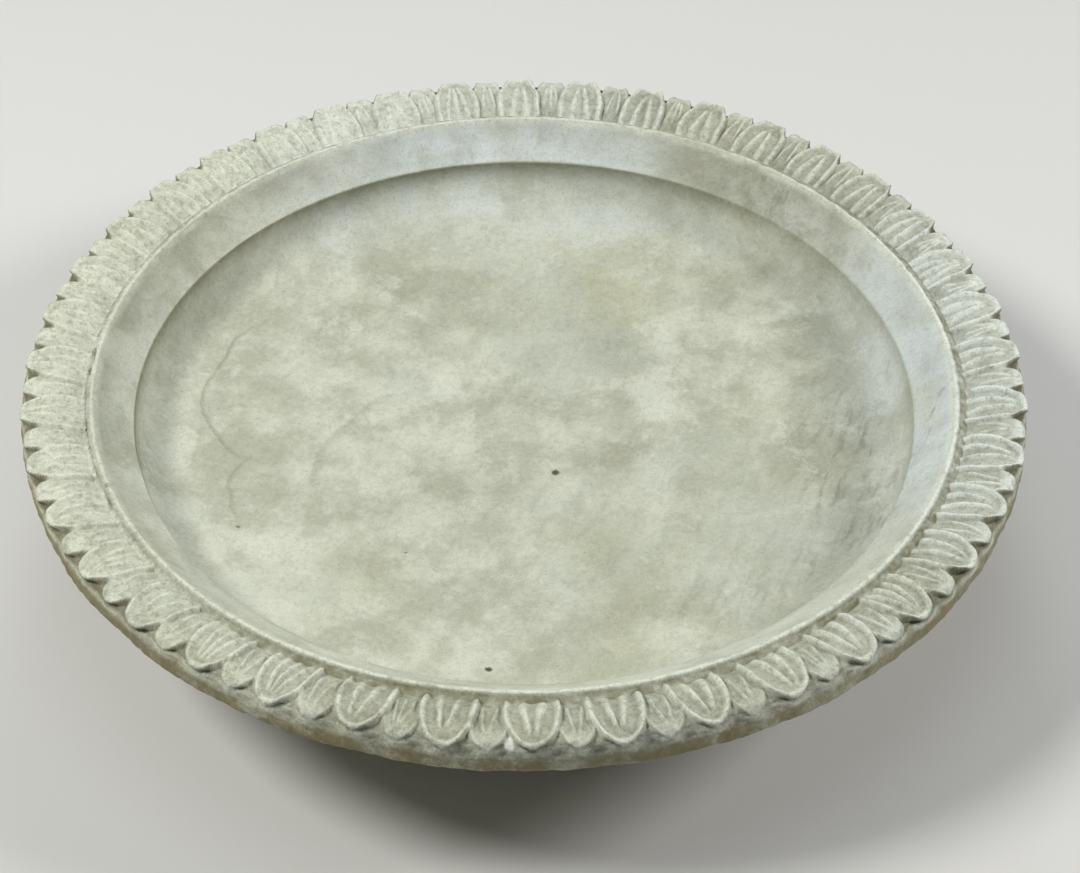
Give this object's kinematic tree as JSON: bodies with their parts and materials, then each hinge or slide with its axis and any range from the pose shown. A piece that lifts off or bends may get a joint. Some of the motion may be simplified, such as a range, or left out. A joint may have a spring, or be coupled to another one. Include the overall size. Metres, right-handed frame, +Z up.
{
  "type": "bird bath bowl",
  "caption": "Shallow round cast-stone bowl with a sloping inner wall, a leaf-ornamented rim, and a flat foot with a socket for a pedestal; steel wire cage inside.",
  "frame": {"origin": "middle of the foot's flat face", "axes": "+Z up along the bowl's axis; +X through the middle of a broad leaf on the rim"},
  "size_m": [0.56, 0.56, 0.11],
  "materials": {
    "cast_stone": "weathered, fine-grained cast stone",
    "steel_wire": "mill-scaled wire with light rust"
  },
  "bodies": {
    "root": {"bowl_casting": "cast_stone", "base_hoop": "steel_wire", "belly_hoop": "steel_wire", "shoulder_hoop": "steel_wire", "rim_hoop": "steel_wire", "radial_bar_1": "steel_wire", "radial_bar_2": "steel_wire", "radial_bar_3": "steel_wire", "radial_bar_4": "steel_wire", "radial_bar_5": "steel_wire", "radial_bar_6": "steel_wire", "radial_bar_7": "steel_wire", "radial_bar_8": "steel_wire"}
  },
  "joints": []
}
